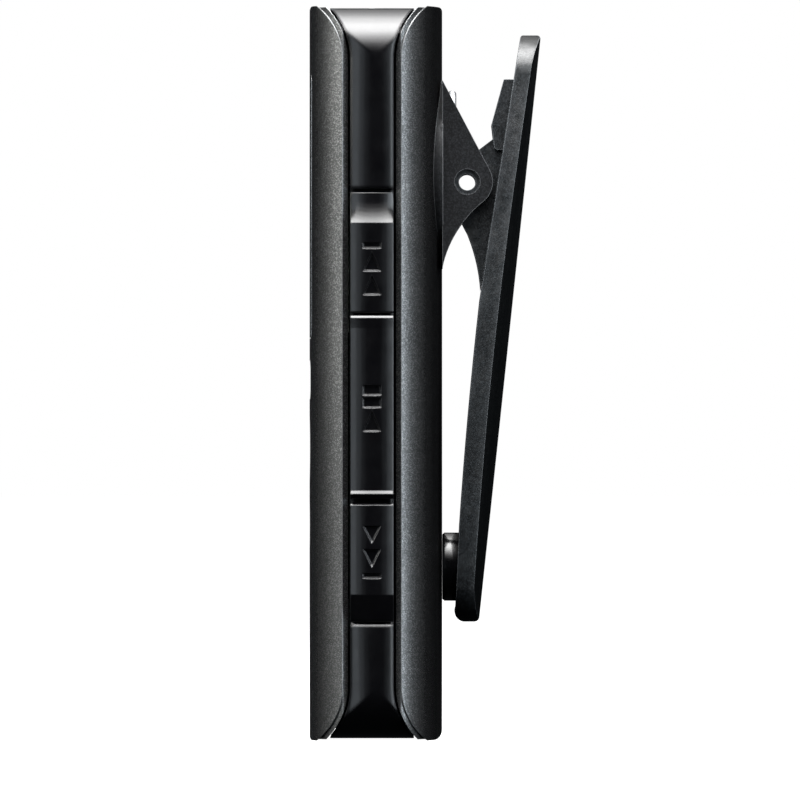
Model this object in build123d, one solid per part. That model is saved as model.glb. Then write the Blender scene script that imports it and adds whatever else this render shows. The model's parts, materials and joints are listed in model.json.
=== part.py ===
from build123d import *
import os
from math import asin, atan2, cos, pi, sin, sqrt

# A slim pocket recorder standing on its bottom end, in millimetres.
# X is the width with the side keys at +X, Y the depth with the display at -Y and the clip at +Y,
# Z runs up the case. The origin is the middle of the bottom end.

# ---------------------------------------------------------------- case
CASE_HEIGHT = 92.0
CASE_WIDTH = 30.0
CASE_DEPTH = 16.7
FRONT_RADIUS = 120.0        # curve of the nearly flat front
FACE_RADIUS = 28.4          # curve of the back
CORNER_RADIUS = 6.5         # corners of the band in the front view
SHELL_CORNER_RADIUS = 2.6   # squarer corners of the shells, standing proud of the band
END_ROUND = 0.45            # rounded edge of the ends
FOOT_ROUND = 1.1            # larger round at the foot of the back
WALL = 1.4

# the gloss band between the two shells, flared at both ends
BAND_Y = -0.47
BAND_HALF = 2.7
FLARE_HEIGHT = 6.8
FLARE_SPREAD = 2.8
SEAM_GAP = 0.3
LIP_WIDTH = 0.65
LIP_DEPTH = 0.2
LIP_SLOPE_DEPTH = 0.65      # fall of the lip into the seam along the keys
BAND_INSET = 0.25
FRAME_WALL = 2.1
FLANGE_FIT = 0.1
FLANGE_REACH = 1.6

HALF_WIDTH = CASE_WIDTH / 2
HALF_DEPTH = CASE_DEPTH / 2


def tight_radius(broad_radius):
    """Radius of the side arc that meets a broad arc of the front or the back smoothly."""
    return (
        HALF_WIDTH**2 + (broad_radius - HALF_DEPTH) ** 2 - broad_radius**2
    ) / (2 * (HALF_WIDTH - broad_radius))


FRONT_SIDE_RADIUS = tight_radius(FRONT_RADIUS)
BACK_SIDE_RADIUS = tight_radius(FACE_RADIUS)

# ---------------------------------------------------------------- side keys
KEY_RISE = 0.6              # crown of the keys above the widest line of the case
KEY_CROWN_RADIUS = 7.2
KEY_EDGE = 0.2
SCOOP_DEPTH = 1.0
SCOOP_LENGTH = 3.8
KEY_UNDERSIDE_DEPTH = 1.05
KEY_FLOOR_DEPTH = 1.5
KEY_FLOOR_THICK = 0.8
KEY_BAY = (14.6, 69.1)
KEY_TRAVEL = 0.35
KEY_STEM_HALF = 1.3
KEY_STEM_INSET = 3.0
KEY_TAB_REACH = 0.9
KEY_TAB_THICK = 0.2
STEM_FIT = 0.12
ICON_WIDTH = 2.5
ICON_DEPTH = 0.3
ICON_DRAFT = 0.2            # how far the walls lean in towards the floor
PREVIOUS_KEY = (53.5, 68.57)
PLAY_KEY = (30.3, 53.2)
NEXT_KEY = (14.93, 29.7)

KEY_TOP = HALF_WIDTH + KEY_RISE
KEY_UNDERSIDE = HALF_WIDTH - KEY_UNDERSIDE_DEPTH
KEY_FLOOR = (HALF_WIDTH - KEY_FLOOR_DEPTH - KEY_FLOOR_THICK, HALF_WIDTH - KEY_FLOOR_DEPTH)
KEY_STEM_END = KEY_FLOOR[0] - 0.05 - KEY_TAB_THICK

# ---------------------------------------------------------------- electronics
BOARD_Y = (-2.2, -1.2)
BOARD_SIDE_GAP = 3.8        # from the widest line of the case
BOARD_KEY_SIDE_GAP = 4.8
BOARD_FOOT = 4.0
BOARD_HEAD_GAP = 4.2
SIDE_BOARD_THICK = 0.8
SWITCH_THICK = 0.4
MEMBRANE_THICK = 0.28
MEMBRANE_GAP = 0.1          # left when a key is pressed home
CELL_SIDE_GAP = 6.5
CELL_FRONT = -0.4
CELL_BACK_GAP = 3.35
CELL_FOOT = 18.0
CELL_BELOW_HOLD = 1.0       # under the hold slider's slot
CRADLE_WALL = 0.8
CRADLE_FIT = 0.1
CRADLE_BACK = 3.6
JACK_HALF = 2.9
JACK_Y = 1.5
JACK_BORE = 1.8
JACK_DEPTH = 11.5
JACK_COLLAR = 2.45
JACK_LENGTH = 12.8
JACK_TOP_GAP = 2.6
JACK_MOUTH = 0.2            # below the top of the case
USB_HALF = 3.95
USB_HEIGHT = 4.0
USB_LENGTH = 9.15
USB_MOUTH = 0.35
USB_WALL = 0.32
MIC_SIDE_GAP = 5.55
MIC_RADIUS = 1.2
MIC_LENGTH = 2.0
MIC_BOOT = 0.3
MIC_TOP_GAP = 3.3
MIC_SLOT_REACH = 0.8        # past the flat of the top end
MESH_THICK = 0.2
SPEAKER_Z = 14.0
SPEAKER_RADIUS = 5.5
SPEAKER_FRONT_GAP = 2.25
SPEAKER_THICK = 1.8
POST_RADIUS = 1.45
POST_SIDE_GAP = 5.1
POST_LOW = 9.6
POST_HIGH_GAP = 9.0
SCREW_SIDE_GAP = 7.7
HOOK_SIDE_GAP = 5.1
HOOK_REACH = 0.45
HOOK_THICK = 0.8
SCREW_Y = 2.2
SCREW_HEAD = 1.0
SCREW_SHANK = 0.7
SCREW_HEAD_TOP = 1.35       # below the end of the case
SCREW_HEAD_THICK = 0.8
LUG_HALF = 1.5
LUG_FRONT = 1.0             # from the screw's axis
LUG_LENGTH = 4.0
LUG_START = 2.7             # below the end of the case
CHIP_THICK = 0.9
PROCESSOR_SIZE = 8.0
PROCESSOR_SIDE_GAP = 1.1    # from the display carrier's ledge
MEMORY_SIZE = (6.0, 10.0)
MEMORY_PLACE = (1.4, 26.0)   # from the board's far edge, and height
SHIELD_HEIGHT = 1.8
SHIELD_WALL = 0.2

BOARD_X = (BOARD_SIDE_GAP - HALF_WIDTH, HALF_WIDTH - BOARD_KEY_SIDE_GAP)
BOARD_Z = (BOARD_FOOT, CASE_HEIGHT - BOARD_HEAD_GAP)
MEMBRANE_TOP = KEY_STEM_END - KEY_TRAVEL - MEMBRANE_GAP
MEMBRANE_X = (MEMBRANE_TOP - MEMBRANE_THICK, MEMBRANE_TOP)
SIDE_BOARD_TOP = MEMBRANE_X[0] - 0.1 - SWITCH_THICK
SIDE_BOARD_X = (SIDE_BOARD_TOP - SIDE_BOARD_THICK, SIDE_BOARD_TOP)
CELL_X = HALF_WIDTH - CELL_SIDE_GAP
CELL_Y = (CELL_FRONT, HALF_DEPTH - CELL_BACK_GAP)
MIC_X = HALF_WIDTH - MIC_SIDE_GAP
JACK_X = MIC_X - MIC_RADIUS - MIC_BOOT - 0.05 - JACK_HALF
JACK_TOP = CASE_HEIGHT - JACK_TOP_GAP
JACK_FOOT = JACK_TOP - JACK_LENGTH
POST_X = HALF_WIDTH - POST_SIDE_GAP
POST_PLACES = [(side * POST_X, z) for z in (POST_LOW, CASE_HEIGHT - POST_HIGH_GAP) for side in (-1, 1)]
SCREW_X = HALF_WIDTH - SCREW_SIDE_GAP
HOOK_X = HALF_WIDTH - HOOK_SIDE_GAP

# ---------------------------------------------------------------- display and front keys
WINDOW_SIDE_GAP = 6.6
WINDOW_FOOT = 50.5
WINDOW_HEAD_GAP = 8.5
WINDOW_THICK = 2.45
WINDOW_FIT = 0.1
WINDOW_SEAT = 0.9
APERTURE_MARGIN = 1.5
APERTURE_FOOT_MARGIN = 2.5
APERTURE_HEAD_MARGIN = 2.9
MODULE_MARGIN = 0.7         # beyond the aperture
CARRIER_LEDGE = 1.5
MODULE_THICK = 1.4
FRONT_KEY_SINK = 0.1        # below the front
FRONT_KEY_FIT = 0.15
FRONT_KEY_TRAVEL = 0.3
FRONT_KEY_STEM = 3.8        # from the front of the case
FRONT_FLANGE = (2.4, 3.0)   # from the front of the case
FRONT_SWITCH = 1.3
MENU_KEY_Z = 45.2
MENU_KEY_SIZE = (12.0, 4.6)
RECORD_KEY_Z = 36.6
RECORD_KEY_RADIUS = 4.3
RECORD_DIMPLE = 1.3
STOP_KEY_Z = 27.0
STOP_KEY_RADIUS = 3.2
STOP_DIMPLE_HALF = 0.9
DIMPLE_DEPTH = 0.25

WINDOW_HALF = HALF_WIDTH - WINDOW_SIDE_GAP
WINDOW_Z = (WINDOW_FOOT, CASE_HEIGHT - WINDOW_HEAD_GAP)
WINDOW_BACK = WINDOW_THICK - HALF_DEPTH
APERTURE_HALF = WINDOW_HALF - APERTURE_MARGIN
APERTURE_Z = (WINDOW_Z[0] + APERTURE_FOOT_MARGIN, WINDOW_Z[1] - APERTURE_HEAD_MARGIN)
MODULE_HALF = APERTURE_HALF + MODULE_MARGIN
MODULE_Z = (APERTURE_Z[0] - 1.0, APERTURE_Z[1] + 0.9)
MODULE_FRONT = WINDOW_BACK + WINDOW_SEAT + 0.1
MODULE_Y = (MODULE_FRONT, MODULE_FRONT + MODULE_THICK)

# ---------------------------------------------------------------- hold slider
HOLD_SLOT_FROM_TOP = 37.0
HOLD_SLOT_LENGTH = 10.0
HOLD_LENGTH = 6.6
HOLD_HALF = 1.5
HOLD_RISE = 0.25
HOLD_DEPTH = 3.5

HOLD_SLOT_Z = (CASE_HEIGHT - HOLD_SLOT_FROM_TOP, CASE_HEIGHT - HOLD_SLOT_FROM_TOP + HOLD_SLOT_LENGTH)
CELL_Z = (CELL_FOOT, HOLD_SLOT_Z[0] - CELL_BELOW_HOLD)

# ---------------------------------------------------------------- clip
PIVOT_RISE = 3.14           # behind the back of the case
PIVOT_DROP = 21.96          # below the top of the case
PIVOT_HOLE = 1.6
PIVOT_FIT = 0.05
PIVOT_BORE = 1.05
BRACKET_GAP = 0.02
BRACKET_ABOVE = 12.76       # from the pivot
BRACKET_BELOW = 10.84
BRACKET_HALF = 8.0          # its foot at the widest
BRACKET_END_HALF = 2.6
BRACKET_NOSE = 3.2
BRACKET_PLATE = 0.58        # at the back's crown
BRACKET_SADDLE = 1.75       # reach of its foot down the round back
BRACKET_POST = 1.25
BRACKET_POST_DEPTH = 1.35   # below the back's crown
CLIP_SCREW_HEAD = 1.9
CLIP_SCREW_SHANK = 0.5
CHEEK_INNER = 5.0
CHEEK_OUTER = 6.6
EAR_X = (3.85, 4.85)
STOP_BLOCK_HALF = 5.3
EAR_NOSE = 2.35
WIRE_RADIUS = 0.55
COIL_RADIUS = 1.9
COIL_X = (0.62, 3.2)
COIL_TURNS = 2
BRIDGE_ABOVE = 11.66        # from the pivot
ARM_FOOT = 14.72
ARM_ABOVE = 18.56           # from the pivot
ARM_HALF = 7.5
ARM_TOP_HALF = 5.35
ARM_FOOT_HALF = 6.1
ARM_CROWN = 17.2
ARM_LEAN = 6.03
ARM_BEHIND = 7.34           # outer face from the pivot, at the pivot's height
ARM_TOP_THICK = 2.56
ARM_THICK = 4.2
ARM_MIDDLE_THICK = 4.14
ARM_LOW_THICK = 3.76
ARM_FOOT_THICK = 3.17
ARM_CORNER = 0.6            # rounding of the arm's outer corners
PAD_ABOVE_FOOT = 6.93
PAD_RADIUS = 4.3
PAD_GAP = 0.02
PAD_CHAMFER = 0.25

PIVOT_Y = HALF_DEPTH + PIVOT_RISE
PIVOT_Z = CASE_HEIGHT - PIVOT_DROP
BRACKET_FOOT = HALF_DEPTH + BRACKET_GAP
BRACKET_FLOOR = BRACKET_FOOT + BRACKET_PLATE
BRACKET_Z = (PIVOT_Z - BRACKET_BELOW, PIVOT_Z + BRACKET_ABOVE)
ARM_TOP = PIVOT_Z + ARM_ABOVE
PAD_Z = ARM_FOOT + PAD_ABOVE_FOOT
FAR = 60                    # beyond the object, for cutting tools


def block(x, y, z):
    """A box from its limits along each axis."""
    size = [high - low for low, high in (x, y, z)]
    middle = [(high + low) / 2 for low, high in (x, y, z)]
    return Pos(*middle) * Box(*size)


def rod_x(radius, x, y, z):
    return Pos((x[0] + x[1]) / 2, y, z) * Rot(0, 90, 0) * Cylinder(radius, x[1] - x[0])


def rod_y(radius, x, y, z):
    return Pos(x, (y[0] + y[1]) / 2, z) * Rot(90, 0, 0) * Cylinder(radius, y[1] - y[0])


def rod_z(radius, x, y, z):
    return Pos(x, y, (z[0] + z[1]) / 2) * Cylinder(radius, z[1] - z[0])


def side_shape(edges, x):
    """A closed outline of (Y, Z) edges, extruded from one X to another."""
    return extrude(Plane.YZ.offset(x[0]) * make_face(edges), x[1] - x[0])


def polygon(points):
    """Straight edges round a list of points."""
    return [Line(a, b) for a, b in zip(points, points[1:] + points[:1])]


def oval_half(side, broad_radius, side_radius, inset):
    """Arcs of the front (side -1) or the back half of the case's cross-section, from -X to +X."""
    side_x = HALF_WIDTH - side_radius
    face_y = broad_radius - HALF_DEPTH
    turn = atan2(side_x, face_y)
    join_x = (broad_radius - inset) * sin(turn)
    join_y = side * ((broad_radius - inset) * cos(turn) - face_y)
    end_x = HALF_WIDTH - inset
    half_turn = (pi / 2 - turn) / 2
    middle_x = side_x + (side_radius - inset) * cos(half_turn)
    middle_y = side * (side_radius - inset) * sin(half_turn)
    return [
        ThreePointArc((-end_x, 0), (-middle_x, middle_y), (-join_x, join_y)),
        ThreePointArc((-join_x, join_y), (0, side * (HALF_DEPTH - inset)), (join_x, join_y)),
        ThreePointArc((join_x, join_y), (middle_x, middle_y), (end_x, 0)),
    ]


def oval(inset):
    """Cross-section of the case: a nearly flat front and a rounder back, joined by tight side arcs."""
    front = oval_half(-1, FRONT_RADIUS, FRONT_SIDE_RADIUS, inset)
    back = oval_half(1, FACE_RADIUS, BACK_SIDE_RADIUS, inset)
    return make_face(front + back)


def case_form(inset, corner=CORNER_RADIUS):
    """The whole case as a solid, shrunk by the inset on all sides."""
    outline = RectangleRounded(CASE_WIDTH - 2 * inset, CASE_HEIGHT - 2 * inset, corner - inset)
    prism = extrude(oval(inset), CASE_HEIGHT)
    return prism & extrude(Plane.XZ * Pos(0, CASE_HEIGHT / 2) * outline, CASE_DEPTH, both=True)


def rounded_ends():
    """Side view of the shells with their end edges rounded."""
    c = 1 - sqrt(0.5)
    corners = (
        (-1, 0, END_ROUND), (1, 0, FOOT_ROUND), (1, CASE_HEIGHT, END_ROUND), (-1, CASE_HEIGHT, END_ROUND)
    )
    edges = []
    ends = []
    for side, z, r in corners:
        y = side * HALF_DEPTH
        up = 1 if z == 0 else -1
        along_face = (y, z + up * r)
        along_end = (y - side * r, z)
        middle = (y - side * r * c, z + up * r * c)
        edges.append(ThreePointArc(along_face, middle, along_end))
        ends.append((along_face, along_end))
    edges.append(Line(ends[0][1], ends[1][1]))
    edges.append(Line(ends[1][0], ends[2][0]))
    edges.append(Line(ends[2][1], ends[3][1]))
    edges.append(Line(ends[3][0], ends[0][0]))
    return side_shape(edges, (-HALF_WIDTH, HALF_WIDTH))


def band_form(extra, past_end=1.0):
    """The flared band seen from the side, widened by extra on both sides, right through the case."""
    flare = (FLARE_HEIGHT**2 + FLARE_SPREAD**2) / (2 * FLARE_SPREAD) - extra
    angle = asin((FLARE_HEIGHT + past_end) / flare)

    def point(side, end, turn):
        y = BAND_Y + side * (BAND_HALF + extra + flare * (1 - cos(turn)))
        rise = flare * sin(turn)
        return (y, CASE_HEIGHT - FLARE_HEIGHT + rise if end else FLARE_HEIGHT - rise)

    edges = []
    for side in (-1, 1):
        edges.append(Line(point(side, 0, 0), point(side, 1, 0)))
        for end in (0, 1):
            edges.append(ThreePointArc(
                point(side, end, 0), point(side, end, angle / 2), point(side, end, angle)
            ))
    for end in (0, 1):
        edges.append(Line(point(-1, end, angle), point(1, end, angle)))
    return side_shape(edges, (-HALF_WIDTH - 1, HALF_WIDTH + 1))


def front_pad(outline, y):
    """A sketch in the front view, extruded from one Y to another."""
    return extrude(Plane.XZ.offset(-y[1]) * outline, y[1] - y[0])


# ---------------------------------------------------------------- shells and frame
outer = case_form(0, SHELL_CORNER_RADIUS)
cavity = case_form(WALL)
seam = band_form(SEAM_GAP)
shells = (outer & rounded_ends()) - cavity - seam
shells -= band_form(SEAM_GAP + LIP_WIDTH) - case_form(LIP_DEPTH, SHELL_CORNER_RADIUS)
for side in (-1, 1):
    lip_y = BAND_Y + side * (BAND_HALF + SEAM_GAP + LIP_WIDTH)
    seam_y = lip_y - side * (LIP_WIDTH + 0.1)
    lip_radius = FRONT_SIDE_RADIUS if side < 0 else BACK_SIDE_RADIUS
    lip_x = HALF_WIDTH - lip_radius + sqrt(lip_radius**2 - lip_y**2) - LIP_DEPTH
    slope = make_face(polygon([
        (lip_x, lip_y), (lip_x - LIP_SLOPE_DEPTH, seam_y), (HALF_WIDTH + 1, seam_y), (HALF_WIDTH + 1, lip_y)
    ]))
    shells -= extrude(slope, CASE_HEIGHT)
    shells -= extrude(mirror(slope, about=Plane.YZ), CASE_HEIGHT)
front_half = block((-FAR, FAR), (-FAR, BAND_Y), (-FAR, CASE_HEIGHT + FAR))
back_half = block((-FAR, FAR), (BAND_Y, FAR), (-FAR, CASE_HEIGHT + FAR))
front_shell = shells & front_half
back_shell = shells & back_half

ring = (case_form(BAND_INSET) - case_form(FRAME_WALL + BAND_INSET)) & band_form(0)
flange = (case_form(WALL + FLANGE_FIT) - case_form(FRAME_WALL + BAND_INSET)) & band_form(FLANGE_REACH)
centre_frame = ring + flange

# side key bay with a flat floor and three stem windows
bay_floor = block(KEY_FLOOR, (BAND_Y - 3.6, BAND_Y + 3.6), (KEY_BAY[0] - 1.5, KEY_BAY[1] + 1.5))
centre_frame += bay_floor & case_form(WALL + FLANGE_FIT)
centre_frame -= block((KEY_FLOOR[1], FAR), (BAND_Y - BAND_HALF, BAND_Y + BAND_HALF), KEY_BAY)
side_keys = (PREVIOUS_KEY, PLAY_KEY, NEXT_KEY)
for low, high in side_keys:
    centre_frame -= block(
        (KEY_FLOOR[0] - 1, KEY_FLOOR[1] + 1),
        (BAND_Y - KEY_STEM_HALF - STEM_FIT, BAND_Y + KEY_STEM_HALF + STEM_FIT),
        (low + KEY_STEM_INSET - STEM_FIT, high - KEY_STEM_INSET + STEM_FIT),
    )

# openings of the frame: jacks and microphones at the top, connector at the bottom, hold slot
for side in (-1, 1):
    centre_frame -= rod_z(JACK_COLLAR + 0.05, side * JACK_X, JACK_Y, (JACK_TOP - 2, CASE_HEIGHT + 1))
    slot_x = (side * (MIC_X - MIC_RADIUS), side * (HALF_WIDTH - CORNER_RADIUS + MIC_SLOT_REACH))
    centre_frame -= block(
        sorted(slot_x),
        (BAND_Y - 0.35, BAND_Y + 0.35),
        (CASE_HEIGHT - MIC_TOP_GAP, CASE_HEIGHT + 1),
    )
centre_frame -= block(
    (-USB_HALF - 0.1, USB_HALF + 0.1), (-USB_HEIGHT / 2 - 0.1, USB_HEIGHT / 2 + 0.1), (-3, 5)
)
centre_frame -= block(
    (-FAR, HOLD_DEPTH - HALF_WIDTH + 0.5), (BAND_Y - HOLD_HALF - 0.1, BAND_Y + HOLD_HALF + 0.1), HOLD_SLOT_Z
)

# room inside the frame: key board, screw posts, display carrier
centre_frame -= block(
    (KEY_FLOOR[0] - 3.2, KEY_FLOOR[0]), (BAND_Y - 3.0, BAND_Y + 3.0), (KEY_BAY[0] - 0.6, KEY_BAY[1] + 0.6)
)
centre_frame -= block(
    (-MODULE_HALF - 0.85, MODULE_HALF + 0.85), (-HALF_DEPTH, -2.6), (MODULE_Z[0] - 1.4, MODULE_Z[1] + 1.7)
)
for x, z in POST_PLACES:
    centre_frame -= rod_y(POST_RADIUS + 0.1, x, (-HALF_DEPTH, BOARD_Y[0]), z)


def from_end(top, start, length):
    """Heights of something that starts a distance in from the top or the bottom end."""
    if top:
        return (CASE_HEIGHT - start - length, CASE_HEIGHT - start)
    return (start, start + length)


def lug_and_pocket(x, top):
    """A lug of the back shell at one end, and the room it takes in the frame."""
    lug_z = from_end(top, LUG_START, LUG_LENGTH)
    lug = block((x - LUG_HALF, x + LUG_HALF), (SCREW_Y - LUG_FRONT, HALF_DEPTH), lug_z) & case_form(0.5)
    pocket = block(
        (x - LUG_HALF - 0.1, x + LUG_HALF + 0.1),
        (SCREW_Y - LUG_FRONT - 0.1, HALF_DEPTH),
        from_end(top, LUG_START - 0.1, LUG_LENGTH + 0.2),
    )
    return lug, pocket


# at the foot two screws run through the frame into lugs of the back shell, at the head two lugs hook in
case_screws = []
lugs = []
for x in (-SCREW_X, SCREW_X):
    lug, pocket = lug_and_pocket(x, False)
    shank = rod_z(SCREW_SHANK, x, SCREW_Y, from_end(False, SCREW_HEAD_TOP, 5.0))
    head = rod_z(SCREW_HEAD, x, SCREW_Y, from_end(False, SCREW_HEAD_TOP, SCREW_HEAD_THICK))
    driver_z = from_end(False, SCREW_HEAD_TOP - 0.1, 0.5)
    driver = block((x - 0.7, x + 0.7), (SCREW_Y - 0.15, SCREW_Y + 0.15), driver_z)
    driver += block((x - 0.15, x + 0.15), (SCREW_Y - 0.7, SCREW_Y + 0.7), driver_z)
    case_screws.append(shank + head - driver)
    lugs.append(lug - shank)
    centre_frame -= rod_z(SCREW_SHANK + 0.1, x, SCREW_Y, from_end(False, 0, 6))
    centre_frame -= rod_z(
        SCREW_HEAD + 0.1, x, SCREW_Y, from_end(False, -1, SCREW_HEAD_TOP + SCREW_HEAD_THICK + 1)
    )
    centre_frame -= pocket
for x in (-HOOK_X, HOOK_X):
    lug, pocket = lug_and_pocket(x, True)
    hook_y = (SCREW_Y - LUG_FRONT, SCREW_Y - LUG_FRONT + HOOK_THICK)
    lugs.append(lug + block(
        (x - LUG_HALF, x + LUG_HALF), hook_y, from_end(True, LUG_START - HOOK_REACH, HOOK_REACH + 0.1)
    ))
    centre_frame -= pocket
    centre_frame -= block(
        (x - LUG_HALF - 0.1, x + LUG_HALF + 0.1),
        (hook_y[0] - 0.1, hook_y[1] + 0.1),
        from_end(True, LUG_START - HOOK_REACH - 0.1, HOOK_REACH + 0.2),
    )

# ledges that carry the main board
key_side = (BOARD_X[1] - 0.8, HALF_WIDTH)
far_side = (-HALF_WIDTH, BOARD_X[0] + 0.8)
ledge_places = (
    (far_side, 14),
    (far_side, PIVOT_Z - 22),
    (far_side, PIVOT_Z + 4),
    (key_side, 5.6),
    (key_side, PIVOT_Z + 7),
)
for x, z in ledge_places:
    ledge = block(x, (BOARD_Y[1], BOARD_Y[1] + 0.9), (z - 2, z + 2))
    centre_frame += ledge & case_form(WALL + FLANGE_FIT + 0.2)

# ---------------------------------------------------------------- front shell
window_z = (WINDOW_Z[0] + WINDOW_Z[1]) / 2
window_height = WINDOW_Z[1] - WINDOW_Z[0]
ledge_form = front_pad(
    Pos(0, window_z) * Rectangle(2 * WINDOW_HALF + 2.4, window_height + 2.4),
    (0.75 - HALF_DEPTH, WINDOW_BACK + WINDOW_SEAT),
)
front_shell += ledge_form & case_form(0.3)
front_shell -= front_pad(
    Pos(0, window_z) * RectangleRounded(
        2 * (WINDOW_HALF + WINDOW_FIT), window_height + 2 * WINDOW_FIT, 1.6 + WINDOW_FIT
    ),
    (-FAR, WINDOW_BACK),
)
aperture = Pos(0, sum(APERTURE_Z) / 2) * RectangleRounded(
    2 * APERTURE_HALF, APERTURE_Z[1] - APERTURE_Z[0], 0.4
)
front_shell -= front_pad(aperture, (-FAR, -3))
display_window = outer & front_pad(
    Pos(0, window_z) * RectangleRounded(2 * WINDOW_HALF, window_height, 1.6), (-FAR, WINDOW_BACK)
)

# posts that reach back to the main board
for x, z in POST_PLACES:
    front_shell += rod_y(POST_RADIUS, x, (WINDOW_BACK, BOARD_Y[0]), z) & case_form(0.5)

# speaker seat and its sound holes
speaker_front = SPEAKER_FRONT_GAP - HALF_DEPTH
speaker_back = speaker_front + SPEAKER_THICK
speaker_seat = rod_y(SPEAKER_RADIUS + 0.9, 0, (0.75 - HALF_DEPTH, speaker_back + 0.1), SPEAKER_Z)
speaker_seat -= rod_y(SPEAKER_RADIUS + 0.1, 0, (-HALF_DEPTH, speaker_back + 1), SPEAKER_Z)
front_shell += speaker_seat & case_form(0.5)
sound_holes = []
for ring_radius, count in ((0, 1), (1.7, 6), (3.4, 12)):
    for i in range(count):
        turn = 2 * pi * i / count
        sound_holes.append(rod_y(
            0.42, ring_radius * cos(turn), (-FAR, speaker_front), SPEAKER_Z + ring_radius * sin(turn)
        ))
for hole in sound_holes:
    front_shell -= hole


def front_key_outline(kind, grow):
    if kind == "menu":
        width, height = MENU_KEY_SIZE
        return Pos(0, MENU_KEY_Z) * RectangleRounded(
            width + 2 * grow, height + 2 * grow, height / 2 - 0.01 + grow
        )
    if kind == "record":
        return Pos(0, RECORD_KEY_Z) * Circle(RECORD_KEY_RADIUS + grow)
    return Pos(0, STOP_KEY_Z) * Circle(STOP_KEY_RADIUS + grow)


def front_key(kind):
    """A key cap with a rounded front, a flange behind the wall and a stem."""
    flange_y = (FRONT_FLANGE[0] - HALF_DEPTH, FRONT_FLANGE[1] - HALF_DEPTH)
    cap = front_pad(front_key_outline(kind, 0), (-FAR, flange_y[1])) & case_form(FRONT_KEY_SINK)
    flange_plate = front_pad(front_key_outline(kind, 0.9), flange_y)
    z = {"menu": MENU_KEY_Z, "record": RECORD_KEY_Z, "stop": STOP_KEY_Z}[kind]
    stem = rod_y(0.9, 0, (flange_y[0], FRONT_KEY_STEM - HALF_DEPTH), z)
    return cap + flange_plate + stem


front_keys = {}
for kind in ("menu", "record", "stop"):
    front_shell -= front_pad(front_key_outline(kind, FRONT_KEY_FIT), (-FAR, -3))
    front_keys[kind] = front_key(kind)
# the flange plates clear the curved wall
for kind, key in front_keys.items():
    collar = front_pad(front_key_outline(kind, 1.1), (FRONT_FLANGE[0] - 0.2 - HALF_DEPTH, -3))
    front_shell -= collar & case_form(0.9)

# record mark: a round dimple; stop mark: a square dimple
dimple_y = (-FAR, DIMPLE_DEPTH - HALF_DEPTH + FRONT_KEY_SINK)
front_keys["record"] -= rod_y(RECORD_DIMPLE, 0, dimple_y, RECORD_KEY_Z)
front_keys["stop"] -= block(
    (-STOP_DIMPLE_HALF, STOP_DIMPLE_HALF),
    dimple_y,
    (STOP_KEY_Z - STOP_DIMPLE_HALF, STOP_KEY_Z + STOP_DIMPLE_HALF),
)

# ---------------------------------------------------------------- back shell
bracket_posts = (PIVOT_Z - 5.04, PIVOT_Z + 6.56)
for z in bracket_posts:
    back_shell -= rod_y(BRACKET_POST + 0.05, 0, (HALF_DEPTH - 3, HALF_DEPTH + 1), z)
for lug in lugs:
    back_shell += lug

# ---------------------------------------------------------------- side keys


def side_key(limits, face_edges):
    """A key cap turned round the crown's axis from its (X, Z) outer line, with its stem and tabs."""
    low, high = limits
    top = face_edges[0] @ 0
    foot = face_edges[-1] @ 1
    axis_x = KEY_TOP - KEY_CROWN_RADIUS
    section = make_face(face_edges + [
        Line((foot.X, foot.Y), (axis_x, low)),
        Line((axis_x, low), (axis_x, high)),
        Line((axis_x, high), (top.X, top.Y)),
    ])
    turned = revolve(Plane.XZ.offset(-BAND_Y) * section, Axis((axis_x, BAND_Y, 0), (0, 0, 1)))
    cap = turned & block((KEY_UNDERSIDE, FAR), (BAND_Y - BAND_HALF, BAND_Y + BAND_HALF), limits)
    stem_low = low + KEY_STEM_INSET
    stem_high = high - KEY_STEM_INSET
    stem = block(
        (KEY_STEM_END, KEY_UNDERSIDE + 0.1),
        (BAND_Y - KEY_STEM_HALF, BAND_Y + KEY_STEM_HALF),
        (stem_low, stem_high),
    )
    tabs = block(
        (KEY_STEM_END, KEY_STEM_END + KEY_TAB_THICK),
        (BAND_Y - KEY_STEM_HALF, BAND_Y + KEY_STEM_HALF),
        (stem_low - KEY_TAB_REACH, stem_high + KEY_TAB_REACH),
    )
    return cap + stem + tabs


def outer_line(points):
    """Straight edges along a list of points."""
    return [Line(a, b) for a, b in zip(points, points[1:])]


def inset(points, distance):
    """A convex outline, given anticlockwise, with every side moved inwards."""
    sides = []
    for (ay, az), (by, bz) in zip(points, points[1:] + points[:1]):
        length = sqrt((by - ay) ** 2 + (bz - az) ** 2)
        normal = ((az - bz) / length, (by - ay) / length)
        sides.append((normal, normal[0] * ay + normal[1] * az + distance))
    corners = []
    for (m, c), (n, d) in zip(sides[-1:] + sides[:-1], sides):
        scale = m[0] * n[1] - m[1] * n[0]
        corners.append(((c * n[1] - d * m[1]) / scale, (d * m[0] - c * n[0]) / scale))
    return corners


def engraved(key, outlines):
    """Cuts flat-bottomed marks with drafted walls, given as (Y, Z) corners, into the crown."""
    for corners in outlines:
        mouth = Plane.YZ.offset(KEY_TOP + 0.05) * make_face(polygon(corners))
        floor = Plane.YZ.offset(KEY_TOP - ICON_DEPTH) * make_face(polygon(inset(corners, ICON_DRAFT)))
        key -= loft([mouth, floor], ruled=True)
    return key


def triangle(z_base, z_tip):
    base = [(BAND_Y - ICON_WIDTH / 2, z_base), (BAND_Y + ICON_WIDTH / 2, z_base)]
    tip = (BAND_Y, z_tip)
    return base + [tip] if z_tip > z_base else [tip] + base[::-1]


def bar(z_low, z_high):
    half = ICON_WIDTH / 2
    return [(BAND_Y - half, z_low), (BAND_Y + half, z_low), (BAND_Y + half, z_high), (BAND_Y - half, z_high)]


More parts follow.
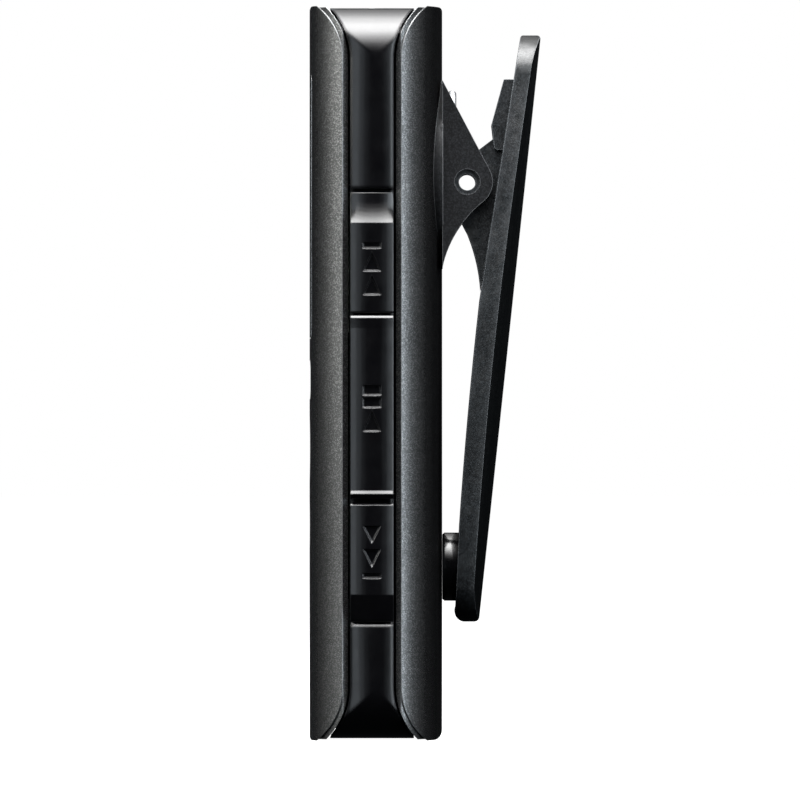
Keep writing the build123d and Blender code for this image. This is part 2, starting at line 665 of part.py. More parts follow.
low, high = PREVIOUS_KEY
scoop_radius = (SCOOP_DEPTH**2 + SCOOP_LENGTH**2) / (2 * SCOOP_DEPTH)
scoop_turn = asin(SCOOP_LENGTH / scoop_radius) / 2
scoop_floor = KEY_TOP - SCOOP_DEPTH
scoop = ThreePointArc(
    (scoop_floor, high),
    (scoop_floor + scoop_radius * (1 - cos(scoop_turn)), high - scoop_radius * sin(scoop_turn)),
    (KEY_TOP, high - SCOOP_LENGTH),
)
key_previous = side_key(PREVIOUS_KEY, [scoop] + outer_line([
    (KEY_TOP, high - SCOOP_LENGTH), (KEY_TOP, low + KEY_EDGE), (KEY_TOP - KEY_EDGE, low)
]))
key_previous = engraved(key_previous, [
    bar(61.5, 62.4), triangle(58.66, 61.3), triangle(55.7, 58.4)
])

low, high = PLAY_KEY
key_play = side_key(PLAY_KEY, outer_line([
    (KEY_TOP - 0.1, high), (KEY_TOP + 0.13, high - 0.3), (KEY_TOP, high - 1.6),
    (KEY_TOP, low + 1.05), (KEY_TOP + 0.25, low + 0.6), (KEY_TOP - 0.1, low),
]))
key_play = engraved(key_play, [bar(43.15, 44.55), bar(41.6, 43.0), triangle(38.65, 41.5)])

low, high = NEXT_KEY
key_next = side_key(NEXT_KEY, outer_line([
    (KEY_TOP - KEY_EDGE, high), (KEY_TOP, high - KEY_EDGE), (KEY_TOP, low + 3.4),
    (KEY_TOP - 0.8, low + 0.3), (KEY_TOP - 0.95, low),
]))
key_next = engraved(key_next, [triangle(27.0, 24.65), triangle(24.1, 21.65), bar(20.3, 21.1)])

# ---------------------------------------------------------------- hold slider on the other side
hold_low = HOLD_SLOT_Z[0] + 0.4
hold_z = (hold_low, hold_low + HOLD_LENGTH)
hold_y = (BAND_Y - HOLD_HALF, BAND_Y + HOLD_HALF)
hold_end = HOLD_DEPTH - HALF_WIDTH
hold_slider = block((-HALF_WIDTH - HOLD_RISE, hold_end), hold_y, hold_z)
for i in range(6):
    z = hold_z[0] + 0.9 + i * 0.96
    hold_slider -= block((-FAR, 0.05 - HALF_WIDTH), (BAND_Y - 5, BAND_Y + 5), (z - 0.2, z + 0.2))
hold_slider += block((hold_end - 0.3, hold_end), (hold_y[0] - 0.4, hold_y[1] + 0.4), hold_z)
hold_switch = block(
    (BOARD_X[0] + 0.1, BOARD_X[0] + 2.6),
    (BOARD_Y[1], BOARD_Y[1] + 2.1),
    (HOLD_SLOT_Z[0] + 1.4, HOLD_SLOT_Z[1] - 0.4),
)

# ---------------------------------------------------------------- boards and parts on them
main_board = block(BOARD_X, BOARD_Y, BOARD_Z)
for side in (-1, 1):
    main_board -= block(
        (side * MIC_X - MIC_RADIUS - MIC_BOOT - 0.1, side * MIC_X + FAR)
        if side > 0
        else (side * MIC_X - FAR, side * MIC_X + MIC_RADIUS + MIC_BOOT + 0.1),
        (-3, 0),
        (CASE_HEIGHT - MIC_TOP_GAP - 3.5, CASE_HEIGHT),
    )
main_board -= block((-USB_HALF - 0.1, USB_HALF + 0.1), (-3, 0), (0, USB_MOUTH + USB_LENGTH + 0.1))
side_key_board = block(SIDE_BOARD_X, (BAND_Y - 2.9, BAND_Y + 2.9), (
    KEY_BAY[0] - 0.4, KEY_BAY[1] + 0.4
))
side_key_switches = []
for low, high in side_keys:
    z = (low + high) / 2
    switch_x = (SIDE_BOARD_X[1], SIDE_BOARD_X[1] + SWITCH_THICK)
    side_key_switches.append(block(switch_x, (BAND_Y - 1.6, BAND_Y + 1.6), (z - 1.6, z + 1.6)))
side_key_membrane = block(MEMBRANE_X, (BAND_Y - 2.6, BAND_Y + 2.6), (
    KEY_BAY[0] + 0.6, KEY_BAY[1] - 0.7
))
for low, high in side_keys:
    z = (low + high) / 2
    side_key_membrane += rod_x(0.9, (SIDE_BOARD_X[1] + SWITCH_THICK, MEMBRANE_X[0]), BAND_Y, z)

front_key_switches = []
for z in (MENU_KEY_Z, RECORD_KEY_Z, STOP_KEY_Z):
    front_key_switches.append(
        block((-2.2, 2.2), (BOARD_Y[0] - FRONT_SWITCH, BOARD_Y[0]), (z - 2.2, z + 2.2))
        + rod_y(1.0, 0, (FRONT_KEY_STEM - HALF_DEPTH + FRONT_KEY_TRAVEL + 0.05, BOARD_Y[0]), z)
    )

chip_y = (BOARD_Y[0] - CHIP_THICK, BOARD_Y[0])
processor_foot = WINDOW_FOOT + 6.5
processor_x = CARRIER_LEDGE - MODULE_HALF + PROCESSOR_SIDE_GAP
processor_chip = block(
    (processor_x, processor_x + PROCESSOR_SIZE), chip_y, (processor_foot, processor_foot + PROCESSOR_SIZE)
)
memory_x = BOARD_X[0] + MEMORY_PLACE[0]
memory_chip = block(
    (memory_x, memory_x + MEMORY_SIZE[0]), chip_y, (MEMORY_PLACE[1], MEMORY_PLACE[1] + MEMORY_SIZE[1])
)
shield_z = (CELL_Z[1] + 4, JACK_FOOT - 1.6)
shield_can = block((-6.5, 6.5), (BOARD_Y[1], BOARD_Y[1] + SHIELD_HEIGHT), shield_z)
shield_can -= block(
    (SHIELD_WALL - 6.5, 6.5 - SHIELD_WALL),
    (BOARD_Y[1] - 1, BOARD_Y[1] + SHIELD_HEIGHT - SHIELD_WALL),
    (shield_z[0] + SHIELD_WALL, shield_z[1] - SHIELD_WALL),
)

# ---------------------------------------------------------------- display
display_module = block((-MODULE_HALF, MODULE_HALF), MODULE_Y, MODULE_Z)
display_module += block(
    (-APERTURE_HALF + 0.2, APERTURE_HALF - 0.2),
    (WINDOW_BACK + 0.15, MODULE_Y[0]),
    (APERTURE_Z[0] + 0.2, APERTURE_Z[1] - 0.2),
)
carrier_z = (MODULE_Z[0] - 0.8, MODULE_Z[1] + 0.8)
carrier_half = MODULE_HALF + 0.7
display_carrier = block((-carrier_half, carrier_half), (MODULE_Y[0] + 0.2, BOARD_Y[0]), carrier_z)
display_carrier -= block(
    (-MODULE_HALF - 0.05, MODULE_HALF + 0.05),
    (-HALF_DEPTH, MODULE_Y[1]),
    (MODULE_Z[0] - 0.05, MODULE_Z[1] + 0.05),
)
display_carrier -= block(
    (CARRIER_LEDGE - MODULE_HALF, MODULE_HALF - CARRIER_LEDGE),
    (-HALF_DEPTH, 0),
    (MODULE_Z[0] + 2, MODULE_Z[1] - 2),
)
for x, z in POST_PLACES:
    display_carrier -= rod_y(POST_RADIUS + 0.1, x, (-HALF_DEPTH, 0), z)

# ---------------------------------------------------------------- battery
battery_cell = block((-CELL_X, CELL_X), CELL_Y, CELL_Z)
cradle_out = CRADLE_FIT + CRADLE_WALL
battery_cradle = block(
    (-CELL_X - cradle_out, CELL_X + cradle_out),
    (BOARD_Y[1] + 0.1, CRADLE_BACK),
    (CELL_Z[0] - cradle_out, CELL_Z[1] + cradle_out),
)
battery_cradle -= block(
    (-CELL_X - CRADLE_FIT, CELL_X + CRADLE_FIT),
    (CELL_Y[0], FAR),
    (CELL_Z[0] - CRADLE_FIT, CELL_Z[1] + CRADLE_FIT),
)
battery_cradle -= block((2.5 - CELL_X, CELL_X - 2.5), (-3, 3), (CELL_Z[0] + 3, CELL_Z[1] - 3))
pad_outline = Pos(0, sum(CELL_Z) / 2) * Rectangle(2 * CELL_X - 5, CELL_Z[1] - CELL_Z[0] - 6)
battery_pad = front_pad(pad_outline, (CELL_Y[1], HALF_DEPTH)) & case_form(WALL)

# ---------------------------------------------------------------- sound parts


def jack(x):
    """Socket for a 3.5 mm plug: a body on the board and a collar through the top."""
    top = CASE_HEIGHT - JACK_MOUTH
    body = block((x - JACK_HALF, x + JACK_HALF), (BOARD_Y[1], JACK_Y + 2.6), (JACK_FOOT, JACK_TOP))
    body += rod_z(JACK_COLLAR, x, JACK_Y, (JACK_TOP - 1, top))
    return body - rod_z(JACK_BORE, x, JACK_Y, (top - JACK_DEPTH, top + 1))


headphone_jack = jack(-JACK_X)
microphone_jack = jack(JACK_X)

usb_y = (-USB_HEIGHT / 2, USB_HEIGHT / 2)
usb_top = USB_MOUTH + USB_LENGTH
usb_inside = block(
    (USB_WALL - USB_HALF, USB_HALF - USB_WALL),
    (usb_y[0] + USB_WALL, usb_y[1] - USB_WALL),
    (-1, usb_top - 0.6),
)
usb_socket = block((-USB_HALF, USB_HALF), usb_y, (USB_MOUTH, usb_top))
usb_socket += block((-USB_HALF - 1.45, USB_HALF + 1.45), (BOARD_Y[1], BOARD_Y[1] + 0.3), (5.0, 8.6))
usb_socket -= usb_inside
usb_socket += block((-2.6, 2.6), (-0.35, 0.35), (USB_MOUTH + 1.25, usb_top - 0.3))

microphone_capsules = []
microphone_boots = []
microphone_meshes = []
for side in (-1, 1):
    x = side * MIC_X
    mesh_top = CASE_HEIGHT - MIC_TOP_GAP
    boot_top = mesh_top - MESH_THICK
    capsule_z = (boot_top - 0.3 - MIC_LENGTH, boot_top - 0.3)
    microphone_capsules.append(rod_z(MIC_RADIUS, x, BAND_Y, capsule_z))
    boot = rod_z(MIC_RADIUS + MIC_BOOT, x, BAND_Y, (capsule_z[0] - 0.4, boot_top))
    microphone_boots.append(boot - rod_z(MIC_RADIUS, x, BAND_Y, (capsule_z[0], mesh_top)))
    microphone_meshes.append(rod_z(MIC_RADIUS + MIC_BOOT, x, BAND_Y, (boot_top, mesh_top)))

speaker = rod_y(SPEAKER_RADIUS, 0, (speaker_front, speaker_back), SPEAKER_Z)
speaker += rod_y(0.65 * SPEAKER_RADIUS, 0, (speaker_back, BOARD_Y[0] - 0.1), SPEAKER_Z)
speaker_mesh = rod_y(SPEAKER_RADIUS, 0, (speaker_front - MESH_THICK, speaker_front), SPEAKER_Z)

# ---------------------------------------------------------------- clip bracket


def ring_point(radius, degrees):
    """A point round the pivot in the side view."""
    turn = degrees * pi / 180
    return (PIVOT_Y + radius * cos(turn), PIVOT_Z + radius * sin(turn))


def at_pivot(y, z):
    """A point given from the pivot."""
    return (PIVOT_Y + y, PIVOT_Z + z)


bracket_middle = sum(BRACKET_Z) / 2


def barrel():
    """Back view of the bracket's foot: straight ends and bulging sides."""
    low, high = BRACKET_Z
    end = BRACKET_END_HALF
    return make_face([
        ThreePointArc((end, low), (BRACKET_HALF, bracket_middle), (end, high)),
        Line((end, high), (-end, high)),
        ThreePointArc((-end, high), (-BRACKET_HALF, bracket_middle), (-end, low)),
        Line((-end, low), (end, low)),
    ])


saddle_y = HALF_DEPTH - BRACKET_SADDLE
slope_start = (BRACKET_FOOT, BRACKET_Z[1])
curve_end = (BRACKET_FOOT, BRACKET_Z[0])
reach = sqrt((slope_start[0] - PIVOT_Y) ** 2 + (slope_start[1] - PIVOT_Z) ** 2)
slope_turn = atan2(slope_start[1] - PIVOT_Z, slope_start[0] - PIVOT_Y) * 180 / pi
tangent_turn = slope_turn - 90 + asin(BRACKET_NOSE / reach) * 180 / pi
nose_end = -46
bracket_profile = [
    Line(slope_start, ring_point(BRACKET_NOSE, tangent_turn)),
    ThreePointArc(
        ring_point(BRACKET_NOSE, tangent_turn),
        ring_point(BRACKET_NOSE, (tangent_turn + nose_end) / 2),
        ring_point(BRACKET_NOSE, nose_end),
    ),
    ThreePointArc(ring_point(BRACKET_NOSE, nose_end), at_pivot(-1.14, -5.94), curve_end),
    Line(curve_end, slope_start),
]
clip_bracket = side_shape(bracket_profile, (-CHEEK_OUTER, CHEEK_OUTER))
clip_bracket += front_pad(barrel(), (saddle_y, BRACKET_FOOT + 0.05)) - case_form(-BRACKET_GAP)
clip_bracket -= block((-CHEEK_INNER, CHEEK_INNER), (BRACKET_FLOOR, FAR), (PIVOT_Z - 7.44, PIVOT_Z + 9.56))
clip_bracket -= block((-1.5, 1.5), (BRACKET_FLOOR, FAR), (PIVOT_Z, PIVOT_Z + FAR))
clip_bracket -= block((-3.9, 3.9), (saddle_y, BRACKET_FLOOR + 1), (PIVOT_Z - 2.9, PIVOT_Z + 2.9))
clip_bracket -= rod_x(PIVOT_HOLE, (-FAR, FAR), PIVOT_Y, PIVOT_Z)
clip_screws = []
post_end = HALF_DEPTH - BRACKET_POST_DEPTH
for z in bracket_posts:
    clip_bracket += rod_y(BRACKET_POST, 0, (post_end, BRACKET_FLOOR), z)
    clip_bracket -= rod_y(CLIP_SCREW_SHANK + 0.05, 0, (post_end - 1, BRACKET_FLOOR - 0.25), z)
    screw = rod_y(CLIP_SCREW_SHANK, 0, (post_end - 0.3, BRACKET_FLOOR - 0.4), z)
    clip_screws.append(screw + rod_y(CLIP_SCREW_HEAD, 0, (post_end - 1.0, post_end - 0.15), z))

# ---------------------------------------------------------------- clip arm
lean = ARM_LEAN * pi / 180


def arm_back(z):
    """Depth of the arm's outer line at a height."""
    return PIVOT_Y + ARM_BEHIND + (z - PIVOT_Z) * sin(lean) / cos(lean)


def arm_inner(z, thickness):
    """A point on the arm's inner face."""
    return (arm_back(z) - thickness, z)


def arm_corner(z, inwards):
    """Start, middle and end of a rounded outer corner: along the end, then along the back."""
    fillet = ARM_CORNER * (1 - sqrt(0.5))
    return (
        (arm_back(z) - ARM_CORNER, z),
        (arm_back(z) - fillet, z + inwards * fillet),
        (arm_back(z + inwards * ARM_CORNER), z + inwards * ARM_CORNER),
    )


top_corner = arm_corner(ARM_TOP, -1)
foot_corner = arm_corner(ARM_FOOT, 1)
top_inner = arm_inner(ARM_TOP - 0.3, ARM_TOP_THICK)
shoulder = arm_inner(PIVOT_Z - 14.84, ARM_THICK)
low_inner = arm_inner(ARM_FOOT + 12.1, ARM_LOW_THICK)
middle_z = (shoulder[1] + low_inner[1]) / 2
foot_inner = arm_inner(ARM_FOOT + 1.88, ARM_FOOT_THICK)
foot_start = (foot_inner[0] + 1.08, ARM_FOOT)
arm_profile = [
    Line(top_corner[2], foot_corner[2]),
    ThreePointArc(foot_corner[2], foot_corner[1], foot_corner[0]),
    Line(foot_corner[0], foot_start),
    ThreePointArc(foot_start, (foot_inner[0] + 0.13, ARM_FOOT + 0.58), foot_inner),
    Line(foot_inner, low_inner),
    ThreePointArc(low_inner, arm_inner(middle_z, ARM_MIDDLE_THICK), shoulder),
    Line(shoulder, top_inner),
    ThreePointArc(top_inner, (top_inner[0] + 0.15, ARM_TOP - 0.08), (top_inner[0] + 0.5, ARM_TOP)),
    Line((top_inner[0] + 0.5, ARM_TOP), top_corner[0]),
    ThreePointArc(top_corner[0], top_corner[1], top_corner[2]),
]
wide_z = PIVOT_Z - 14
round_top = ARM_TOP - 5.0
round_foot = ARM_FOOT + 4.48
arm_outline = make_face([
    ThreePointArc((ARM_TOP_HALF, round_top), (0, ARM_TOP), (-ARM_TOP_HALF, round_top)),
    ThreePointArc((-ARM_TOP_HALF, round_top), (-ARM_HALF, wide_z), (-ARM_FOOT_HALF, round_foot)),
    ThreePointArc((-ARM_FOOT_HALF, round_foot), (0, ARM_FOOT), (ARM_FOOT_HALF, round_foot)),
    ThreePointArc((ARM_FOOT_HALF, round_foot), (ARM_HALF, wide_z), (ARM_TOP_HALF, round_top)),
])
crown = Pos(0, arm_back(PIVOT_Z), PIVOT_Z) * Rot(-ARM_LEAN, 0, 0) * Pos(0, -ARM_CROWN, 0) * Cylinder(
    ARM_CROWN, 4 * CASE_HEIGHT
)
clip_arm = side_shape(arm_profile, (-FAR, FAR)) & front_pad(arm_outline, (0, FAR)) & crown

ear_profile = [
    ThreePointArc(ring_point(EAR_NOSE, 125), ring_point(EAR_NOSE, 180), ring_point(EAR_NOSE, 215)),
    ThreePointArc(ring_point(EAR_NOSE, 215), at_pivot(-0.89, -4.64), at_pivot(0.01, -6.44)),
    ThreePointArc(at_pivot(0.01, -6.44), at_pivot(1.11, -9.84), at_pivot(1.68, -13.64)),
    Line(at_pivot(1.68, -13.64), at_pivot(ARM_BEHIND - 2.33, 5.86)),
    Line(at_pivot(ARM_BEHIND - 2.33, 5.86), at_pivot(3.16, 5.36)),
    Line(at_pivot(3.16, 5.36), ring_point(EAR_NOSE, 125)),
]
for side in (-1, 1):
    clip_arm += side_shape(ear_profile, sorted((side * EAR_X[0], side * EAR_X[1])))
    trunnion = sorted((side * EAR_X[0], side * (CHEEK_OUTER - 0.35)))
    clip_arm += rod_x(PIVOT_HOLE - PIVOT_FIT, trunnion, PIVOT_Y, PIVOT_Z)
stop_block = side_shape(
    polygon([
        at_pivot(4.6, 12.9),
        at_pivot(3.06, 7.26),
        at_pivot(3.41, 4.26),
        at_pivot(3.71, 4.06),
        at_pivot(ARM_BEHIND - 1.83, 4.06),
        at_pivot(ARM_BEHIND - 0.83, 12.9),
    ]),
    (-STOP_BLOCK_HALF, STOP_BLOCK_HALF),
)
clip_arm += stop_block
clip_arm -= rod_x(PIVOT_BORE, (-FAR, FAR), PIVOT_Y, PIVOT_Z)

# ---------------------------------------------------------------- torsion spring


def wire(start, end):
    """A straight length of wire with rounded ends."""
    path = Line(start, end)
    section = Plane(origin=start, z_dir=path % 0) * Circle(WIRE_RADIUS)
    return sweep(section, path=path) + Pos(*start) * Sphere(WIRE_RADIUS) + Pos(*end) * Sphere(WIRE_RADIUS)


leg_y = PIVOT_Y - COIL_RADIUS
leg_top = PIVOT_Z + BRIDGE_ABOVE - WIRE_RADIUS
clip_spring = wire((-COIL_X[0], leg_y, leg_top), (COIL_X[0], leg_y, leg_top))
for side in (-1, 1):
    pitch = (COIL_X[1] - COIL_X[0]) / COIL_TURNS
    coil_path = Helix(pitch, COIL_TURNS * pitch, COIL_RADIUS)
    coil = sweep(
        Plane(origin=coil_path @ 0, z_dir=coil_path % 0) * Circle(WIRE_RADIUS), path=coil_path, is_frenet=True
    )
    placed = Pos(COIL_X[0], PIVOT_Y, PIVOT_Z) * Rot(0, 90, 0) * Rot(0, 0, -90) * coil
    if side < 0:
        placed = mirror(placed, about=Plane.YZ)
    clip_spring += placed
    clip_spring += wire((side * COIL_X[0], leg_y, PIVOT_Z), (side * COIL_X[0], leg_y, leg_top))
    clip_spring += wire((side * COIL_X[1], leg_y, PIVOT_Z), (side * COIL_X[1], leg_y, PIVOT_Z + 0.1))

# ---------------------------------------------------------------- pad on the arm
pad_front = HALF_DEPTH + PAD_GAP
clip_pad = rod_y(PAD_RADIUS, 0, (pad_front + PAD_CHAMFER, low_inner[0] + 1), PAD_Z)
clip_pad += Pos(0, pad_front, PAD_Z) * Rot(-90, 0, 0) * Cone(
    PAD_RADIUS - PAD_CHAMFER, PAD_RADIUS, PAD_CHAMFER, align=(Align.CENTER, Align.CENTER, Align.MIN)
)
clip_pad &= side_shape(
    polygon([
        (pad_front, foot_inner[1]),
        foot_inner,
        low_inner,
        (pad_front, low_inner[1]),
    ]),
    (-FAR, FAR),
)

# ---------------------------------------------------------------- files
nodes = {
    "front_shell": front_shell,
    "back_shell": back_shell,
    "centre_frame": centre_frame,
    "display_window": display_window,
    "display_module": display_module,
    "display_carrier": display_carrier,
    "main_board": main_board,
    "processor_chip": processor_chip,
    "memory_chip": memory_chip,
    "shield_can": shield_can,
    "side_key_board": side_key_board,
    "side_key_switches": side_key_switches,
    "side_key_membrane": side_key_membrane,
    "key_previous": key_previous,
    "key_play": key_play,
    "key_next": key_next,
    "menu_key": front_keys["menu"],
    "record_key": front_keys["record"],
    "stop_key": front_keys["stop"],
    "front_key_switches": front_key_switches,
    "hold_slider": hold_slider,
    "hold_switch": hold_switch,
    "battery_cell": battery_cell,
    "battery_cradle": battery_cradle,
    "battery_pad": battery_pad,
    "headphone_jack": headphone_jack,
    "microphone_jack": microphone_jack,
    "usb_socket": usb_socket,
    "microphone_capsules": microphone_capsules,
    "microphone_boots": microphone_boots,
    "microphone_meshes": microphone_meshes,
    "speaker": speaker,
    "speaker_mesh": speaker_mesh,
    "case_screws": case_screws,
    "clip_bracket": clip_bracket,
    "clip_screws": clip_screws,
    "clip_arm": clip_arm,
    "clip_spring": clip_spring,
    "clip_pad": clip_pad,
}
os.makedirs("parts", exist_ok=True)
for name, shape in nodes.items():
    if isinstance(shape, list):
        solids = [solid for piece in shape for solid in piece.solids()]
        shape = Compound(children=solids)
    export_step(shape, f"parts/{name}.step")
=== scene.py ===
import json
from math import cos, pi, sin, tau

import bmesh
import bpy
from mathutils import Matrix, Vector


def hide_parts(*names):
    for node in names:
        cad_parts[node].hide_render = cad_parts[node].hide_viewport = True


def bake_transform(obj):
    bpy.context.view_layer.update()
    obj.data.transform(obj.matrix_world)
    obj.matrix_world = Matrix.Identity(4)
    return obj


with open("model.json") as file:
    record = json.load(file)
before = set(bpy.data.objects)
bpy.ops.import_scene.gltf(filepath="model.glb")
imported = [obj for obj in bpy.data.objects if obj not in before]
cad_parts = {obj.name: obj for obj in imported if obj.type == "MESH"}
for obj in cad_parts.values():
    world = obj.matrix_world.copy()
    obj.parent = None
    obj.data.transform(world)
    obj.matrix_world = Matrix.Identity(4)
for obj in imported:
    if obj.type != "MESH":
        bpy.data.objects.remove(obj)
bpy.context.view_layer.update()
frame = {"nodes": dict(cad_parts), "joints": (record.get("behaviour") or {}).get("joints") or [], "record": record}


nodes = frame["nodes"]
joints = {joint["name"]: joint for joint in frame["joints"]}
MM = 0.001

# ---------------------------------------------------------------- materials


def set_input(tree, socket, value):
    """Sets a shader input to a number or a colour, or links it to another node's output."""
    if isinstance(value, (int, float)):
        socket.default_value = value
    elif isinstance(value, tuple):
        socket.default_value = value if len(value) == len(socket.default_value) else (*value, 1.0)
    else:
        tree.links.new(value, socket)


class Graph:
    """A material's nodes, wired by short calls."""

    def __init__(self, name):
        self.material = bpy.data.materials.new(name)
        self.material.use_nodes = True
        self.tree = self.material.node_tree
        self.tree.nodes.clear()
        self.coordinates = self.add("ShaderNodeTexCoord").outputs["Object"]

    def add(self, kind, **settings):
        node = self.tree.nodes.new(kind)
        for key, value in settings.items():
            setattr(node, key, value)
        return node

    def fill(self, node, values):
        """Sets or links a node's inputs by name."""
        for name, value in values.items():
            set_input(self.tree, node.inputs[name], value)

    def mapped(self, **inputs):
        """The object's own space, turned or stretched."""
        mapping = self.add("ShaderNodeMapping")
        self.fill(mapping, {"Vector": self.coordinates, **inputs})
        return mapping.outputs["Vector"]

    def noise(self, per_metre, detail=2.0, roughness=0.5, stretch=None):
        """Noise between about 0.2 and 0.8, in the object's own space."""
        node = self.add("ShaderNodeTexNoise")
        source = self.mapped(Scale=stretch) if stretch else self.coordinates
        self.fill(node, {"Vector": source, "Scale": per_metre, "Detail": detail, "Roughness": roughness})
        return node.outputs["Fac"]

    def specks(self, per_metre):
        """Two independent random values, each steady over a small cell."""
        cells = self.add("ShaderNodeTexVoronoi", feature="F1")
        self.fill(cells, {"Vector": self.coordinates, "Scale": per_metre})
        split = self.add("ShaderNodeSeparateColor")
        self.fill(split, {"Color": cells.outputs["Color"]})
        return split.outputs["Red"], split.outputs["Green"]

    def tiles(self, width, height, gap, first, second, between, offset=0.5):
        """A grid of tiles that stands along the case: its colour, and its raised gaps."""
        grid = self.add("ShaderNodeTexBrick", offset=offset)
        self.fill(grid, {
            "Vector": self.mapped(Rotation=(pi / 2, 0, 0)),
            "Scale": 1.0,
            "Brick Width": width * MM,
            "Row Height": height * MM,
            "Mortar Size": gap * MM,
            "Color1": first,
            "Color2": second,
            "Mortar": between,
        })
        return grid.outputs["Color"], grid.outputs["Fac"]

    def span(self, value, low, high, start=0.3, end=0.7):
        """Maps a value from start..end to low..high."""
        node = self.add("ShaderNodeMapRange")
        self.fill(node, {"Value": value, "From Min": start, "From Max": end, "To Min": low, "To Max": high})
        return node.outputs["Result"]

    def math(self, operation, a, b):
        node = self.add("ShaderNodeMath", operation=operation)
        for socket, value in zip(node.inputs, (a, b)):
            set_input(self.tree, socket, value)
        return node.outputs["Value"]

    def mix(self, factor, a, b):
        """A colour between two colours."""
        node = self.add("ShaderNodeMix", data_type="RGBA")
        set_input(self.tree, node.inputs["Factor"], factor)
        for name, value in (("A", a), ("B", b)):
            socket = next(i for i in node.inputs if i.name == name and i.type == "RGBA")
            set_input(self.tree, socket, value)
        return next(o for o in node.outputs if o.type == "RGBA")

    def blotches(self, per_metre, detail, dark, light):
        """Soft patches of two colours."""
        return self.mix(self.span(self.noise(per_metre, detail=detail), 0, 1), dark, light)

    def rounded(self, radius):
        """A normal that rounds the edges over in the shading."""
        bevel = self.add("ShaderNodeBevel", samples=6)
        self.fill(bevel, {"Radius": radius * MM})
        return bevel.outputs["Normal"]

    def edges(self, radius):
        """1 on rounded-over edges, 0 on open faces."""
        geometry = self.add("ShaderNodeNewGeometry")
        dot = self.add("ShaderNodeVectorMath", operation="DOT_PRODUCT")
        set_input(self.tree, dot.inputs[0], self.rounded(radius))
        set_input(self.tree, dot.inputs[1], geometry.outputs["Normal"])
        return self.span(dot.outputs["Value"], 1.0, 0.0, start=0.86, end=0.995)

    def edges_worn_and_lit(self, color, worn_and_lit_color, radius, strength):
        """A colour whose edges are moved towards another colour: rubbed wear on some stock, a painted highlight on
        others.
        """
        return self.mix(self.math("MULTIPLY", self.edges(radius), strength), color, worn_and_lit_color)

    def turned_away(self, start, end):
        """0 on faces square to the view, 1 on faces turned away from it."""
        facing = self.add("ShaderNodeLayerWeight")
        self.fill(facing, {"Blend": 0.5})
        return self.span(facing.outputs["Facing"], 0.0, 1.0, start=start, end=end)

    def bump(self, height, depth, strength=1.0, normal=None):
        node = self.add("ShaderNodeBump")
        self.fill(node, {"Height": height, "Distance": depth * MM, "Strength": strength})
        if normal is not None:
            self.fill(node, {"Normal": normal})
        return node.outputs["Normal"]

    def surface(self, color, roughness, metallic, normal=None, **inputs):
        shader = self.add("ShaderNodeBsdfPrincipled")
        self.fill(shader, {"Base Color": color, "Roughness": roughness, "Metallic": metallic})
        self.fill(shader, {name.replace("_", " "): value for name, value in inputs.items()})
        if normal is not None:
            self.fill(shader, {"Normal": normal})
        out = self.add("ShaderNodeOutputMaterial")
        self.fill(out, {"Surface": shader.outputs["BSDF"]})
        return self.material


def shade_of(color, factor):
    """A colour made darker or lighter."""
    return tuple(min(1.0, c * factor) for c in color)


def plain(name, color, roughness, grain=2500, grain_depth=0.004, wear=None):
    """Moulded stock: blotchy colour, uneven roughness, fine grain and worn edges."""
    graph = Graph(name)
    tint = graph.blotches(180, 4, shade_of(color, 0.88), shade_of(color, 1.12))
    if wear:
        tint = graph.edges_worn_and_lit(tint, wear, radius=0.12, strength=0.7)
    uneven = graph.span(graph.noise(700, detail=3), roughness - 0.08, roughness + 0.08)
    normal = graph.bump(graph.noise(grain, detail=3), grain_depth)
    return graph.surface(tint, uneven, 0.0, normal)


def metallic_paint(name):
    """Satin charcoal paint with fine bright flakes and a slightly orange-peeled coat, with painted shade on faces
    turned away from the view and a painted highlight on its edges.
    """
    graph = Graph(name)
    base = graph.blotches(120, 3, (0.070, 0.072, 0.073), (0.086, 0.088, 0.089))
    shade, lean = graph.specks(11000)
    bright = graph.span(shade, 0.0, 1.0, start=0.6, end=1.0)
    color = graph.mix(graph.math("MULTIPLY", bright, 0.8), base, (0.30, 0.305, 0.31))
    # painted shade: the colour sinks towards near black on faces turned away from the view
    turned_away_shade = graph.math("MULTIPLY", graph.turned_away(0.16, 0.72), 0.9)
    color = graph.mix(turned_away_shade, color, (0.004, 0.004, 0.0045))
    # painted highlight: the rounded edges are lightened
    color = graph.edges_worn_and_lit(color, (0.34, 0.345, 0.35), radius=0.16, strength=0.35)
    coat = graph.span(graph.noise(900), 0.40, 0.47)
    rough = graph.math("SUBTRACT", coat, graph.math("MULTIPLY", bright, 0.08))
    tilt = graph.bump(lean, 0.010, strength=0.5, normal=graph.rounded(0.16))
    normal = graph.bump(graph.noise(1500, detail=2), 0.003, normal=tilt)
    return graph.surface(
        color, rough, 0.85, normal, Specular_IOR_Level=0.3, Specular_Tint=(0.25, 0.25, 0.26)
    )


def gloss_black(name, soft_edge=0.08):
    """Polished black moulding with faint haze and hairlines, and a painted highlight that lightens its edges;
    soft_edge is the round of its edges in mm.
    """
    graph = Graph(name)
    tint = graph.blotches(200, 4, (0.0010, 0.0010, 0.0013), (0.0022, 0.0022, 0.0026))
    # painted highlight: the edges are lightened to a faint grey
    tint = graph.edges_worn_and_lit(tint, (0.05, 0.05, 0.053), radius=0.1, strength=0.5)
    haze = graph.span(graph.noise(500, detail=5, roughness=0.6), 0.11, 0.22)
    ripple = graph.noise(250, detail=2, stretch=(1, 1, 0.4))
    normal = graph.bump(ripple, 0.006, normal=graph.rounded(soft_edge))
    return graph.surface(tint, haze, 0.0, normal, Specular_IOR_Level=0.42)


